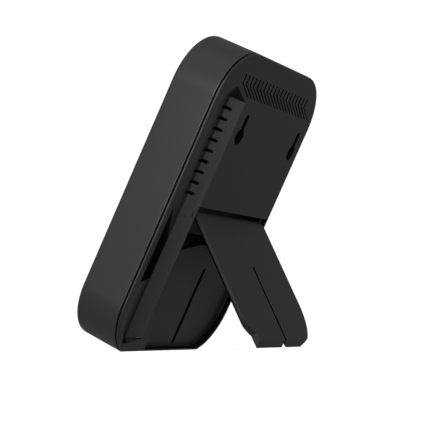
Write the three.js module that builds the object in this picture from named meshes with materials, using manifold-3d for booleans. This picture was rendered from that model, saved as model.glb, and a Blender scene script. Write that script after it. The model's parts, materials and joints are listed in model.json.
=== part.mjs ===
// Digital photo frame, portrait, leaning back on a hinged stand flap.
// Millimetres, +Z up.  Everything is drawn in the body's own upright frame and the
// whole body is then leaned back about X:
//   x  across the body, + towards the side with the recess for the leads
//   y  depth, 0 at the front face, growing to the back face
//   z  height above the body's lower edge
import * as THREE from 'three';
import { mergeVertices } from 'three/addons/utils/BufferGeometryUtils.js';
import { ConvexGeometry } from 'three/addons/geometries/ConvexGeometry.js';
import Module from 'manifold-3d';

const wasm = await Module();
wasm.setup();

// ---- driving dimensions -------------------------------------------------------------
const WIDTH = 105;
const HEIGHT = 140;
const DEPTH = 22.7;            // front face to the flat of the back
const CORNER = 23;             // corner radius of the outline
const STAND_ANGLE = 52;        // degrees between the body's back and the open stand

const FIT = 0.3;               // gap between neighbouring pieces
const ARC_STEPS = 12;          // facets in a quarter of the outline
const SMALL_STEPS = 4;         // facets in a quarter of a small corner

// front shell
const WALL = 2.2;
const LIP = 1.0;               // thinner rim of the wall, which the rear cover sits inside
const LIP_LENGTH = 3.7;
const SHADOW_GAP = 0.85;       // seam between the shell and the rear cover
const POCKET_WALL = 0.8;       // of the rear cover, between that seam and the stand's pocket
const FRONT_FACE = 3.0;
const FRONT_ROUND = 1.6;

// display
const SCREEN_W = 83;
const SCREEN_H = 111;
const GLASS_INSET = 4.2;       // edge of the glass in from the body's outline
const GLASS = 1.35;
const GASKET = 0.8;
const LCD = 1.2;
const LIGHT_GUIDE = 1.8;
const TRAY_SHEET = 0.6;
const PANEL_BORDER = 2.2;      // panel beyond the opening, each side

// rear cover
const COVER = 2.2;             // thickness of the flat back
const FLANGE = 0.95;           // the part of it that shows outside the shell
const COVER_EDGE = 0.9;        // rounding of its outer edge
const COVER_INSET = 0.15;
const TUB_WALL = 1.4;

// recess for the leads, a V-shaped trough down one side
const TROUGH_CREST = 25.8;     // x of its inner edge on the back face
const TROUGH_RIM = 4.3;        // width of back face left outside it
const TROUGH_DEPTH = 6.0;
const TROUGH_VALLEY = 3.0;     // how far the steep inner wall leans outwards
const TROUGH_LOW = 6.2;
const TROUGH_HIGH = 119.8;
const TROUGH_PEAK_X = 38.9;
const TROUGH_PEAK_RISE = 4.6;
const TROUGH_FLARE = 2.0;      // the crest turns in by this at both ends
const TROUGH_FLARE_LENGTH = 13;
const SIDE_VENTS = 9;
const SIDE_VENT_PITCH = 4.93;
const SIDE_VENT_TOP = 113.8;
const SIDE_VENT_WIDTH = 1.4;
const SIDE_VENT_REACH = 8.2;   // beyond the valley, out into the shallow wall
const SIDE_VENT_START = 1.7;   // before the valley, in the steep wall
const PORT_LOW = 34;           // end wall that holds the sockets
const PORT_HIGH = 68;          // where the ramp runs out
const PORT_DEPTH = 12;
const PORT_WALL = 1.0;

// vents across the top
const TOP_VENTS = 20;
const TOP_VENT_PITCH = 3.74;
const TOP_VENT_FIRST = 34.9;
const TOP_VENT_WIDTH = 1.45;
const TOP_VENT_HIGH = 130.3;
const TOP_VENT_BEND = 126.1;
const TOP_VENT_LOW = 121.2;
const TOP_VENT_SWEEP = 10.2;

// keyholes
const KEY_SPACING = 60.3;
const KEY_HEAD = 7.4;
const KEY_SLOT = 3.3;
const KEY_LOW = 100.5;
const KEY_LENGTH = 14;

// stand flap
const FLAP_W = 75.9;
const FLAP_T = 2.6;
const FLAP_SKIN = 1.1;         // full-width outer layer; inside it the edges are bevelled
const FLAP_BEVEL = 2.0;
const FLAP_MARGIN = 0.9;       // rib between the pocket and the trough's crest
const FLAP_FOOT = 2.7;         // height of its foot above the lower edge when shut
const FLAP_CORNER = 14;
const FLAP_TOP_CUT = 1.8;      // its top corners are cut off at 45 degrees
const FOOT_W = 62.2;
const FOOT_LENGTH = 5.6;
const FOOT_BEVEL = 2.8;
const BARREL = 2.2;            // radius of the hinge barrel
const HINGE_Z = 65.7;
const HINGE_SLOT = 2.4;        // open slot above the barrel
const PIN = 0.75;
const PIN_SEAT = 0.9;
const SLIT_W = 3.0;
const SLIT_TOP = 41.5;
const SLIT_LOW = 3.4;
const SLIT_NOTCH = 5.4;

// lower edge of the body, where it stands
const HEEL = 1.75;             // height at which the ground plane meets the flat of the back
const HEEL_ROUND = 0.6;        // rounding between the back and the ground, in and up

// bay behind the top of the flap
const BAY_DEPTH = 6;
const BAY_LOW_SIDE = 47.6;
const BAY_LOW_MIDDLE = 52.6;
const BAY_MIDDLE_W = 29;
const BAY_SLOPE = 7.6;

// works
const PLATE_T = 1.4;
const BOARD_T = 1.6;
const BOARD_W = 58;
const BOARD_H = 46;
const BOARD_X = -12;
const BOARD_Z = 96;
const STANDOFF = 2.2;
const POST_X = 29;
const POST_Z = 6.4;
const POST_R = 2.4;
const SCREW_R = 0.9;
const SCREW_HEAD_R = 1.7;
const SCREW_HEAD_T = 1.1;
const PORT_BOARD_W = 19;
const PORT_BOARD_H = 16;
const PORT_BOARD_T = 1.0;
const USB_W = 9;
const USB_T = 3.3;
const USB_L = 7.5;
const JACK_W = 6.2;
const JACK_T = 4.6;
const JACK_L = 9.5;
const JACK_BORE = 1.75;
const SPEAKER_R = 13.5;
const SPEAKER_T = 4.6;
const BUTTON_L = 11;
const BUTTON_W = 4.2;
const BUTTON_T = 3.2;
const BUTTON_Z = 110;
const BUTTON_TRAVEL = 0.8;
const CARD_W = 25.4;
const CARD_T = 3.0;
const CARD_Z = 88.5;

// ---- places worked out from them ----------------------------------------------------
const BACK = DEPTH;
const SEAM = BACK - FLANGE;                         // underside of the cover's flange
const SHELL_BACK = SEAM - SHADOW_GAP;
const SKIRT_INSET = LIP + FIT;
const POCKET_RIM = SKIRT_INSET + POCKET_WALL;
const INNER_INSET = WALL + FIT;
const LIP_START = SHELL_BACK - LIP_LENGTH;
const FLAP_RIGHT = TROUGH_CREST - FLAP_MARGIN - FIT;
const FLAP_LEFT = FLAP_RIGHT - FLAP_W;
const FLAP_MID = (FLAP_RIGHT + FLAP_LEFT) / 2;
const POCKET_DEPTH = FLAP_T + FIT;
const POCKET_FLOOR = BACK - POCKET_DEPTH;
const POCKET_TOP = HINGE_Z + BARREL + HINGE_SLOT;
const HINGE_Y = BACK - BARREL;
const BAY_FLOOR = POCKET_FLOOR - BAY_DEPTH;
const TROUGH_OUT = WIDTH / 2 - TROUGH_RIM;
const VALLEY_X = TROUGH_CREST + TROUGH_VALLEY;
const VALLEY_Y = BACK - TROUGH_DEPTH;
const PORT_X0 = VALLEY_X + 0.4;
const PORT_X1 = TROUGH_OUT + 0.6;
const PORT_FLOOR = BACK - PORT_DEPTH;
const GLASS_SEAT = GLASS + FIT;
const LCD_Y = FRONT_FACE + FIT + GASKET + FIT;
const GUIDE_Y = LCD_Y + LCD + FIT;
const TRAY_Y = GUIDE_Y + LIGHT_GUIDE + FIT;
const PLATE_Y = TRAY_Y + TRAY_SHEET + FIT;
const BOARD_Y = PLATE_Y + PLATE_T + STANDOFF;
const BUTTON_Y = PLATE_Y + PLATE_T + 3.9;
const CARD_Y = PLATE_Y + PLATE_T + 1.0;
const MID_Z = HEIGHT / 2;
const BARREL_LEFT = FLAP_LEFT + FLAP_BEVEL + 0.5;
const BARREL_RIGHT = FLAP_RIGHT - FLAP_BEVEL - 0.5;
const PANEL_W = SCREEN_W + 2 * PANEL_BORDER;
const PANEL_H = SCREEN_H + 2 * PANEL_BORDER;

// ---- materials ----------------------------------------------------------------------
const finish = (color, roughness, metalness = 0) =>
  new THREE.MeshStandardMaterial({ color, roughness, metalness });
const SHELL_PLASTIC = finish(0x252324, 0.42);
const COVER_PLASTIC = finish(0x232122, 0.5);
const FLAP_PLASTIC = finish(0x201e1f, 0.5);
const GLOSS_GLASS = finish(0x0b0b0d, 0.08);
const SCREEN = finish(0x15171b, 0.25);
const WHITE_SHEET = finish(0xe9e9e4, 0.5);
const FOAM = finish(0x2b2b2b, 0.95);
const STEEL = finish(0xb9bcc0, 0.35, 1);
const BLACK_RESIN = finish(0x3a3c40, 0.7);
const BOARD_GREEN = finish(0x1d5a3a, 0.55);
const CHIP = finish(0x18181a, 0.6);
const RIBBON = finish(0xb5793a, 0.5);
const BLACK_STEEL = finish(0x242424, 0.4);

// ---- solid helpers ------------------------------------------------------------------
function solid(geometry) {
  const bare = new THREE.BufferGeometry();
  bare.setAttribute('position', geometry.getAttribute('position'));
  if (geometry.index) bare.setIndex(geometry.index);
  const merged = mergeVertices(bare, 1e-4);
  return new wasm.Manifold(new wasm.Mesh({
    numProp: 3,
    vertProperties: new Float32Array(merged.getAttribute('position').array),
    triVerts: new Uint32Array(merged.index.array),
  }));
}

function surface(body) {
  const mesh = body.getMesh();
  const geometry = new THREE.BufferGeometry();
  geometry.setAttribute('position', new THREE.BufferAttribute(new Float32Array(mesh.vertProperties), 3));
  geometry.setIndex(new THREE.BufferAttribute(new Uint32Array(mesh.triVerts), 1));
  geometry.computeVertexNormals();
  return geometry;
}

const join = (...bodies) => bodies.reduce((sum, body) => sum.add(body));
const cut = (body, ...tools) => tools.reduce((rest, tool) => rest.subtract(tool), body);

// a flat outline in x and z, made solid from y0 to y1
function slab(shape, y0, y1, steps = SMALL_STEPS) {
  const geometry = new THREE.ExtrudeGeometry(shape, {
    depth: y1 - y0, bevelEnabled: false, curveSegments: steps,
  });
  geometry.applyMatrix4(new THREE.Matrix4().makeBasis(
    new THREE.Vector3(1, 0, 0), new THREE.Vector3(0, 0, 1), new THREE.Vector3(0, -1, 0)));
  geometry.translate(0, y1, 0);
  return solid(geometry);
}

// a flat outline in y and z, made solid from x0 to x1
function bar(shape, x0, x1, steps = SMALL_STEPS) {
  const geometry = new THREE.ExtrudeGeometry(shape, {
    depth: x1 - x0, bevelEnabled: false, curveSegments: steps,
  });
  geometry.applyMatrix4(new THREE.Matrix4().makeBasis(
    new THREE.Vector3(0, 1, 0), new THREE.Vector3(0, 0, 1), new THREE.Vector3(1, 0, 0)));
  geometry.translate(x0, 0, 0);
  return solid(geometry);
}

function block(x0, x1, y0, y1, z0, z1) {
  const geometry = new THREE.BoxGeometry(x1 - x0, y1 - y0, z1 - z0);
  geometry.translate((x0 + x1) / 2, (y0 + y1) / 2, (z0 + z1) / 2);
  return solid(geometry);
}

// a round rod along x (axis 'x') or y (axis 'y')
function rod(axis, a0, a1, radius, b, c, sides = 24) {
  const geometry = new THREE.CylinderGeometry(radius, radius, a1 - a0, sides);
  if (axis === 'x') {
    geometry.rotateZ(-Math.PI / 2);
    geometry.translate((a0 + a1) / 2, b, c);
  } else {
    geometry.translate(b, (a0 + a1) / 2, c);
  }
  return solid(geometry);
}

function polygon(points) {
  const shape = new THREE.Shape();
  points.forEach(([a, b], i) => (i ? shape.lineTo(a, b) : shape.moveTo(a, b)));
  shape.closePath();
  return shape;
}

// rounded rectangle, corner radius r
function rounded(x0, x1, z0, z1, r) {
  const shape = new THREE.Shape();
  shape.moveTo(x0 + r, z0);
  shape.lineTo(x1 - r, z0);
  shape.absarc(x1 - r, z0 + r, r, -Math.PI / 2, 0);
  shape.lineTo(x1, z1 - r);
  shape.absarc(x1 - r, z1 - r, r, 0, Math.PI / 2);
  shape.lineTo(x0 + r, z1);
  shape.absarc(x0 + r, z1 - r, r, Math.PI / 2, Math.PI);
  shape.lineTo(x0, z0 + r);
  shape.absarc(x0 + r, z0 + r, r, Math.PI, 1.5 * Math.PI);
  return shape;
}

// the body's outline drawn in by a distance
const outline = (inset) => rounded(
  -WIDTH / 2 + inset, WIDTH / 2 - inset, inset, HEIGHT - inset, CORNER - inset);

const outlineSlab = (inset, y0, y1) => slab(outline(inset), y0, y1, ARC_STEPS);

const centred = (w, h, r) => rounded(-w / 2, w / 2, MID_Z - h / 2, MID_Z + h / 2, r);

function hull(points) {
  return solid(new ConvexGeometry(points.map(([x, y, z]) => new THREE.Vector3(x, y, z))));
}

// the outline as a plate whose front and back edges are rounded over
function roundedPlate(inset, y0, y1, front, back, steps = 3) {
  const layers = [];
  for (let i = 0; i <= steps; i += 1) {
    const a = (i / steps) * Math.PI / 2;
    if (front) layers.push([front * (1 - Math.sin(a)), y0 + front * (1 - Math.cos(a))]);
    if (back) layers.push([back * (1 - Math.sin(a)), y1 - back * (1 - Math.cos(a))]);
  }
  if (!front) layers.push([0, y0]);
  if (!back) layers.push([0, y1]);
  const points = [];
  for (const [extra, y] of layers) {
    for (const p of outline(inset + extra).getPoints(ARC_STEPS)) points.push([p.x, y, p.y]);
  }
  return hull(points);
}

// ---- how it stands --------------------------------------------------------------------
// The ground touches the heel of the body and the tip of the open stand's foot, and the
// lean follows from the two.
const OPEN = THREE.MathUtils.degToRad(STAND_ANGLE);
const TIP_Y = BARREL - FLAP_T;
const TIP_Z = FLAP_FOOT - HINGE_Z;
const FOOT_Y = HINGE_Y + TIP_Y * Math.cos(OPEN) - TIP_Z * Math.sin(OPEN);
const FOOT_Z = HINGE_Z + TIP_Y * Math.sin(OPEN) + TIP_Z * Math.cos(OPEN);
const LEAN = Math.atan2(FOOT_Z - HEEL, FOOT_Y - BACK);

// what is trimmed off the lower back edge of the shell and the cover together
function heelCut() {
  const fall = Math.tan(LEAN);
  const shape = new THREE.Shape();
  shape.moveTo(BACK + 1, HEEL + HEEL_ROUND);
  shape.lineTo(BACK, HEEL + HEEL_ROUND);
  shape.quadraticCurveTo(BACK, HEEL, BACK - HEEL_ROUND, HEEL - HEEL_ROUND * fall);
  shape.lineTo(BACK - (HEEL + 1) / fall, -1);
  shape.lineTo(BACK + 1, -1);
  return bar(shape, -WIDTH, WIDTH, 8);
}

// ---- the front shell ----------------------------------------------------------------
const postPlaces = [
  [-POST_X, POST_Z], [POST_X, POST_Z], [-POST_X, HEIGHT - POST_Z], [POST_X, HEIGHT - POST_Z],
];

function frontShell() {
  const body = roundedPlate(0, 0, SHELL_BACK, FRONT_ROUND, 0.35);
  const room = outlineSlab(WALL, FRONT_FACE, DEPTH);
  const rebate = outlineSlab(LIP, LIP_START, DEPTH);
  const seat = outlineSlab(GLASS_INSET, -1, GLASS_SEAT);
  const opening = slab(centred(SCREEN_W, SCREEN_H, 1), -1, FRONT_FACE + 1);
  const posts = postPlaces.map(([x, z]) => rod('y', FRONT_FACE - 0.2, PLATE_Y - FIT, POST_R, x, z));
  const bores = postPlaces.map(([x, z]) => rod('y', FRONT_FACE + 0.8, PLATE_Y, SCREW_R + FIT, x, z, 12));
  const buttonHole = bar(
    rounded(BUTTON_Y - BUTTON_W / 2 - FIT, BUTTON_Y + BUTTON_W / 2 + FIT,
      BUTTON_Z - BUTTON_L / 2 - FIT, BUTTON_Z + BUTTON_L / 2 + FIT, BUTTON_W / 2 + FIT),
    -WIDTH / 2 - 1, -WIDTH / 2 + WALL + 1, 8);
  const cardSlot = block(-WIDTH / 2 - 1, -WIDTH / 2 + WALL + 1, CARD_Y, CARD_Y + CARD_T,
    CARD_Z - CARD_W / 2, CARD_Z + CARD_W / 2);
  return cut(join(cut(body, room, rebate), ...posts), seat, opening, ...bores, buttonHole, cardSlot,
    heelCut());
}

// ---- the display --------------------------------------------------------------------
const frontGlass = () => outlineSlab(GLASS_INSET + FIT, 0, GLASS);

const gasket = () => cut(
  slab(centred(PANEL_W, PANEL_H, 1.5), FRONT_FACE + FIT, FRONT_FACE + FIT + GASKET),
  slab(centred(SCREEN_W + 0.6, SCREEN_H + 0.6, 1), 0, DEPTH));

const lcdPanel = () => slab(centred(PANEL_W, PANEL_H, 0.8), LCD_Y, LCD_Y + LCD);

const lightGuide = () => slab(centred(PANEL_W, PANEL_H, 0.8), GUIDE_Y, GUIDE_Y + LIGHT_GUIDE);

function displayTray() {
  const grow = 2 * (FIT + TRAY_SHEET);
  return cut(
    slab(centred(PANEL_W + grow, PANEL_H + grow, 1.6), LCD_Y, TRAY_Y + TRAY_SHEET),
    slab(centred(PANEL_W + 2 * FIT, PANEL_H + 2 * FIT, 1.1), 0, TRAY_Y));
}

// ---- the chassis plate and the boards -----------------------------------------------
const boardCorners = [[-1, -1], [1, -1], [-1, 1], [1, 1]].map(([sx, sz]) => [
  BOARD_X + sx * (BOARD_W / 2 - 3.5), BOARD_Z + sz * (BOARD_H / 2 - 3.5)]);

function chassisPlate() {
  const plate = slab(rounded(-WIDTH / 2 + 6.5, WIDTH / 2 - 6.5, POST_Z - 3, HEIGHT - POST_Z + 3, 18),
    PLATE_Y, PLATE_Y + PLATE_T);
  const standoffs = boardCorners.map(([x, z]) => rod(
    'y', PLATE_Y + PLATE_T - 0.2, BOARD_Y - FIT, 2.4, x, z, 16));
  const bores = boardCorners.map(([x, z]) => rod('y', PLATE_Y - 1, BOARD_Y + 1, SCREW_R + FIT, x, z, 12));
  const holes = postPlaces.map(([x, z]) => rod('y', PLATE_Y - 1, PLATE_Y + 3, SCREW_R + FIT, x, z, 12));
  const ribbonSlot = block(BOARD_X - 12, BOARD_X + 12, PLATE_Y - 1, PLATE_Y + 3,
    BOARD_Z + BOARD_H / 2 + 1.4, BOARD_Z + BOARD_H / 2 + 4.4);
  const lightening = slab(rounded(-34, 12, 48, 66, 4), PLATE_Y - 1, PLATE_Y + 3);
  const portNotch = block(PORT_X0 - 3, WIDTH / 2, PLATE_Y - 1, PLATE_Y + 3,
    PORT_LOW - PORT_BOARD_H - 4, PORT_HIGH - 2);
  return cut(join(plate, ...standoffs), ...bores, ...holes, ribbonSlot, lightening, portNotch);
}

function mainBoard() {
  const board = slab(rounded(BOARD_X - BOARD_W / 2, BOARD_X + BOARD_W / 2,
    BOARD_Z - BOARD_H / 2, BOARD_Z + BOARD_H / 2, 2), BOARD_Y, BOARD_Y + BOARD_T);
  return cut(board, ...boardCorners.map(([x, z]) => rod('y', 0, DEPTH, SCREW_R + FIT, x, z, 12)));
}

// a pan-head screw pointing to the front, its head resting on the plane y
function screw(x, y, z, length) {
  return join(
    rod('y', y + FIT, y + FIT + SCREW_HEAD_T, SCREW_HEAD_R, x, z, 20),
    rod('y', y - length, y + FIT + 0.1, SCREW_R, x, z, 12));
}

const onBoard = (dx, dz, w, h, t) => slab(
  rounded(BOARD_X + dx - w / 2, BOARD_X + dx + w / 2, BOARD_Z + dz - h / 2, BOARD_Z + dz + h / 2, 0.6),
  BOARD_Y + BOARD_T + FIT, BOARD_Y + BOARD_T + FIT + t);

// flat cable from behind the display, through the plate's slot, over the top of the board
function displayRibbon() {
  const top = BOARD_Z + BOARD_H / 2 + 2.9;
  const back = BOARD_Y + BOARD_T + FIT;
  const t = 0.25;
  const start = TRAY_Y + TRAY_SHEET + 0.02;
  const low = BOARD_Z + BOARD_H / 2 - 2.6;
  const shape = polygon([
    [start, top - 7], [start + t, top - 7], [start + t, top], [back + 1.2, top], [back + 1.2, low],
    [back + 1.2 + t, low], [back + 1.2 + t, top + t], [start, top + t],
  ]);
  return bar(shape, BOARD_X - 10, BOARD_X + 10);
}

const ribbonConnector = () => onBoard(0, BOARD_H / 2 - 4.6, 22, 3.6, 2.2);

// ---- sockets behind the end wall of the recess for the leads --------------------------
const PORT_MID = (PORT_X0 + PORT_X1) / 2;
const PORT_BACK = PORT_LOW - PORT_WALL - FIT;       // front of the sockets, facing up
const PORT_BOARD_Y = PLATE_Y;
const SOCKET_Y = PORT_BOARD_Y + PORT_BOARD_T + FIT;
const USB_X = PORT_MID - 5.2;
const JACK_X = PORT_MID + 5.2;
const USB_Y = SOCKET_Y + 0.7;

const portBoard = () => slab(rounded(PORT_MID - PORT_BOARD_W / 2, PORT_MID + PORT_BOARD_W / 2,
  PORT_BACK - PORT_BOARD_H, PORT_BACK, 1), PORT_BOARD_Y, PORT_BOARD_Y + PORT_BOARD_T);

function usbSocket() {
  const outer = block(USB_X - USB_W / 2, USB_X + USB_W / 2, SOCKET_Y, USB_Y + USB_T,
    PORT_BACK - USB_L, PORT_BACK);
  const mouth = block(USB_X - USB_W / 2 + 0.5, USB_X + USB_W / 2 - 0.5, USB_Y + 0.45, USB_Y + USB_T - 0.45,
    PORT_BACK - USB_L + 1, PORT_BACK + 1);
  const tongue = block(USB_X - USB_W / 2 + 1.6, USB_X + USB_W / 2 - 1.6, USB_Y + USB_T / 2 - 0.3,
    USB_Y + USB_T / 2 + 0.3, PORT_BACK - USB_L + 0.8, PORT_BACK - 1);
  return join(cut(outer, mouth), tongue);
}

function powerSocket() {
  const outer = block(JACK_X - JACK_W / 2, JACK_X + JACK_W / 2, SOCKET_Y, SOCKET_Y + JACK_T,
    PORT_BACK - JACK_L, PORT_BACK);
  const bore = new THREE.CylinderGeometry(JACK_BORE, JACK_BORE, JACK_L - 1, 20);
  bore.rotateX(Math.PI / 2);
  bore.translate(JACK_X, SOCKET_Y + JACK_T / 2, PORT_BACK - JACK_L / 2 + 1.5);
  const pin = new THREE.CylinderGeometry(0.7, 0.7, JACK_L - 1.6, 12);
  pin.rotateX(Math.PI / 2);
  pin.translate(JACK_X, SOCKET_Y + JACK_T / 2, PORT_BACK - JACK_L / 2 - 0.2);
  return join(cut(outer, solid(bore)), solid(pin));
}

// ---- speaker, button, card socket ---------------------------------------------------
const SPEAKER_X = -11;
const SPEAKER_Z = 30;

function speaker() {
  const profile = [[0, 0], [SPEAKER_R - 3, 0], [SPEAKER_R, 2.2], [SPEAKER_R, SPEAKER_T - 0.8],
    [SPEAKER_R - 1.2, SPEAKER_T], [SPEAKER_R - 2, SPEAKER_T], [4, SPEAKER_T - 1.6], [0, SPEAKER_T - 0.9]];
  const geometry = new THREE.LatheGeometry(profile.map(([r, h]) => new THREE.Vector2(r, h)), 36);
  geometry.translate(SPEAKER_X, PLATE_Y + PLATE_T + FIT, SPEAKER_Z);
  return solid(geometry);
}

function powerButton() {
  const x = -WIDTH / 2;
  const cap = bar(rounded(BUTTON_Y - BUTTON_W / 2, BUTTON_Y + BUTTON_W / 2,
    BUTTON_Z - BUTTON_L / 2, BUTTON_Z + BUTTON_L / 2, BUTTON_W / 2 - 0.01), x + 0.05, x + BUTTON_T, 8);
  const flange = block(x + WALL + FIT + BUTTON_TRAVEL * 0.1, x + BUTTON_T + 0.4, BUTTON_Y - BUTTON_W / 2 - 1,
    BUTTON_Y + BUTTON_W / 2 + 1, BUTTON_Z - BUTTON_L / 2 - 1.2, BUTTON_Z + BUTTON_L / 2 + 1.2);
  return join(cap, flange);
}

const SWITCH_X = -WIDTH / 2 + BUTTON_T + 0.4 + BUTTON_TRAVEL + FIT;

const buttonSwitch = () => join(
  block(SWITCH_X + 0.6, SWITCH_X + 2.4, BUTTON_Y - 2, BUTTON_Y + 2, BUTTON_Z - 2, BUTTON_Z + 2),
  rod('x', SWITCH_X, SWITCH_X + 0.8, 1, BUTTON_Y, BUTTON_Z, 16));

const buttonBoard = () => block(SWITCH_X + 2.4 + FIT, SWITCH_X + 2.4 + FIT + 0.8,
  BUTTON_Y - 3, BUTTON_Y + 5.4, BUTTON_Z - 9, BUTTON_Z + 9);

function cardSocket() {
  const x = -WIDTH / 2 + WALL + FIT;
  const outer = block(x, x + 3.4, CARD_Y - 0.6, CARD_Y + CARD_T + 0.6, CARD_Z - CARD_W / 2 - 1, CARD_Z + CARD_W / 2 + 1);
  const mouth = block(x - 1, x + 2.6, CARD_Y, CARD_Y + CARD_T, CARD_Z - CARD_W / 2, CARD_Z + CARD_W / 2);
  return cut(outer, mouth);
}

// ---- the rear cover -----------------------------------------------------------------
// The trough is the hull of its outline on the back face and of its valley line below.
function trough(grow) {
  const crest = TROUGH_CREST - grow;
  const low = TROUGH_LOW - grow;
  const high = TROUGH_HIGH + grow;
  const out = TROUGH_OUT;
  const edge = [
    [crest - TROUGH_FLARE * 0.5, low + 2], [crest, low + TROUGH_FLARE_LENGTH],
    [crest, high - TROUGH_FLARE_LENGTH], [crest - TROUGH_FLARE * 0.5, high - 1],
    [TROUGH_PEAK_X, high + TROUGH_PEAK_RISE], [out - 2.2, high + 0.4], [out, high - 4],
    [out, low + 14], [out - 2.6, low + 5], [out - 7, low - 0.6],
  ];
  const y = VALLEY_Y - grow;
  const valley = [[VALLEY_X, y, low - 0.5], [VALLEY_X, y, high - 1],
    [VALLEY_X + 1.2 * grow, y, low - 0.5], [VALLEY_X + 1.2 * grow, y, high - 1]];
  return hull([
    ...edge.map(([x, z]) => [x, BACK, z]),
    ...edge.map(([x, z]) => [x, BACK + 2, z]),
    ...valley,
  ]);
}

const portRamp = (grow) => bar(polygon([
  [PORT_FLOOR - grow, PORT_LOW - grow],
  [BACK, PORT_HIGH + grow],
  [BACK + 2, PORT_HIGH + grow],
  [BACK + 2, PORT_LOW - grow],
]), PORT_X0 - grow, PORT_X1 + grow);

// The flap's outline, upright and shut, with the foot tab below its rounded corners
function flapOutline(grow, top) {
  const x0 = FLAP_LEFT - grow;
  const x1 = FLAP_RIGHT + grow;
  const r = FLAP_CORNER;
  const side = (FLAP_W - FOOT_W) / 2;
  const turn = Math.acos((r - side) / r);
  const low = FLAP_FOOT - grow;
  const centre = FLAP_FOOT + FOOT_LENGTH + r * Math.sin(turn);
  const shape = new THREE.Shape();
  shape.moveTo(x0 + side, low);
  shape.lineTo(x1 - side, low);
  shape.lineTo(x1 - side, centre - (r + grow) * Math.sin(turn));
  shape.absarc(x1 - grow - r, centre, r + grow, -turn, 0);
  shape.lineTo(x1, top);
  shape.lineTo(x0, top);
  shape.absarc(x0 + grow + r, centre, r + grow, Math.PI, Math.PI + turn);
  shape.lineTo(x0 + side, low);
  return shape;
}

// The part of the flap's outline below its full-width skin, with bevelled sides
function bevelLimit(grow) {
  const skin = BACK - FLAP_SKIN - grow;
  const inner = BACK - FLAP_T - grow;
  const left = FLAP_LEFT - grow;
  const right = FLAP_RIGHT + grow;
  const shape = polygon([
    [left, BACK + 2], [left, skin], [left + FLAP_BEVEL, inner],
    [right - FLAP_BEVEL, inner], [right, skin], [right, BACK + 2],
  ]);
  const geometry = new THREE.ExtrudeGeometry(shape, { depth: HEIGHT, bevelEnabled: false });
  return solid(geometry);
}

function pocket() {
  return slab(flapOutline(FIT, POCKET_TOP), POCKET_FLOOR, BACK + 1)
    .intersect(bevelLimit(FIT))
    .intersect(outlineSlab(POCKET_RIM, 0, BACK + 2));
}

function bay(grow) {
  const x0 = FLAP_LEFT + FLAP_BEVEL - FIT - grow;
  const x1 = FLAP_RIGHT + FIT + grow;
  const half = BAY_MIDDLE_W / 2;
  const lower = (rise) => [
    [x1, BAY_LOW_SIDE + rise - grow], [FLAP_MID + half, BAY_LOW_MIDDLE + rise - grow],
    [FLAP_MID - half, BAY_LOW_MIDDLE + rise - grow], [x0, BAY_LOW_SIDE + rise - grow]];
  const top = POCKET_TOP + grow;
  const face = polygon([...lower(0), [x0, top], [x1, top]]);
  const wedge = bar(polygon([
    [BAY_FLOOR - grow, BAY_LOW_SIDE + BAY_SLOPE], [POCKET_FLOOR + 0.5, BAY_LOW_SIDE - 0.5],
    [POCKET_FLOOR + 0.5, POCKET_TOP + 3], [BAY_FLOOR - grow, POCKET_TOP + 3],
  ]), x0 - 1, x1 + 1);
  const roof = grow ? POCKET_FLOOR : POCKET_FLOOR + 0.5;
  const straight = slab(face, BAY_FLOOR - grow, roof);
  return grow ? straight : straight.intersect(join(wedge, slab(polygon([
    ...lower(BAY_SLOPE), [x0, top], [x1, top]]), BAY_FLOOR, roof)));
}

function keyhole(x) {
  const head = new THREE.Shape();
  head.absarc(x, KEY_LOW + KEY_HEAD / 2, KEY_HEAD / 2, 0, 2 * Math.PI);
  const slot = rounded(x - KEY_SLOT / 2, x + KEY_SLOT / 2, KEY_LOW + KEY_HEAD / 2,
    KEY_LOW + KEY_LENGTH, KEY_SLOT / 2 - 0.01);
  return join(slab(head, SEAM - COVER - 1, BACK + 1, 10), slab(slot, SEAM - COVER - 1, BACK + 1));
}

function topVent(i) {
  const x = TOP_VENT_FIRST - i * TOP_VENT_PITCH;
  const w = TOP_VENT_WIDTH / 2;
  const line = [[x, TOP_VENT_HIGH], [x, TOP_VENT_BEND], [x - TOP_VENT_SWEEP, TOP_VENT_LOW]];
  const right = line.map(([a, b]) => [a + w, b]);
  const left = line.map(([a, b]) => [a - w, b]).reverse();
  return slab(polygon([...left, ...right]), BACK - COVER - 1, BACK + 1);
}

function sideVent(i) {
  const z = SIDE_VENT_TOP - i * SIDE_VENT_PITCH;
  const shape = rounded(VALLEY_X - SIDE_VENT_START, VALLEY_X + SIDE_VENT_REACH, z - SIDE_VENT_WIDTH / 2,
    z + SIDE_VENT_WIDTH / 2, SIDE_VENT_WIDTH / 2 - 0.01);
  return slab(shape, VALLEY_Y - TUB_WALL - 2, BACK + 1);
}

const slit = (y0, y1, low, width) => slab(
  rounded(FLAP_MID - width / 2, FLAP_MID + width / 2, low, SLIT_TOP, width / 2 - 0.01), y0, y1);

function coverBlank() {
  const flange = roundedPlate(COVER_INSET, SEAM, BACK, 0, COVER_EDGE);
  const skirt = outlineSlab(SKIRT_INSET, BACK - COVER, SEAM + 0.1);
  const lowerBlock = outlineSlab(SKIRT_INSET, POCKET_FLOOR - TUB_WALL - 0.2, SEAM + 0.1)
    .intersect(block(-WIDTH, WIDTH, 0, DEPTH, 0, POCKET_TOP + TUB_WALL));
  const tubs = join(trough(TUB_WALL), portRamp(PORT_WALL), bay(TUB_WALL));
  const room = join(outlineSlab(INNER_INSET, 0, SEAM), outlineSlab(SKIRT_INSET, LIP_START + FIT, SEAM));
  return join(flange, skirt, lowerBlock, tubs.intersect(room));
}

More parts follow.
